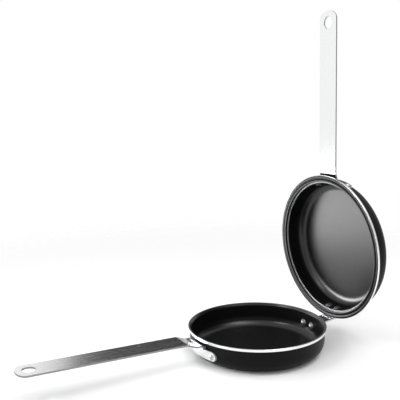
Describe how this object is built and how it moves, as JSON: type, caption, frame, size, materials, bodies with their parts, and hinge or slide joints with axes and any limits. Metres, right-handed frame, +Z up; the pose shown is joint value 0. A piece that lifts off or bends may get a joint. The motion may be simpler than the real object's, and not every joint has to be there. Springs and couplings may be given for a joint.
{
  "type": "double sided flip pan",
  "caption": "Two round shallow frying pans that shut rim to rim on a riveted hinge, each with a flat strip handle and a hanging hole, shown standing open.",
  "frame": {"origin": "middle of the lower pan's base, on the surface it stands on", "axes": "+X from the lower pan towards the hinge (the lower handle runs along -X), +Y along the hinge pin, +Z up"},
  "size_m": [0.5154, 0.2206, 0.4843],
  "materials": {
    "nonstick_pan": "black non-stick coating over pressed metal, bare metal band round the lower rim",
    "steel_strip": "satin stainless strip",
    "rivet": "plain, slightly domed"
  },
  "bodies": {
    "lower_half": {"lower_pan": "nonstick_pan", "lower_handle": "steel_strip", "lower_handle_rivet_left": "rivet", "lower_handle_rivet_right": "rivet", "lower_hinge_bracket": "steel_strip", "lower_hinge_rivet_left": "rivet", "lower_hinge_rivet_right": "rivet", "hinge_pin": "rivet"},
    "upper_half": {"upper_pan": "nonstick_pan", "upper_handle": "steel_strip", "upper_handle_rivet_left": "rivet", "upper_handle_rivet_right": "rivet", "upper_hinge_bracket": "steel_strip", "upper_hinge_rivet_left": "rivet", "upper_hinge_rivet_right": "rivet"}
  },
  "joints": [
    {"name": "pan_hinge", "type": "hinge", "parent": "lower_half", "child": "upper_half", "pos_m": [0.1164, 0, 0.0178], "axis": [0, 1, 0], "range_deg": [-87.1, 0]}
  ]
}
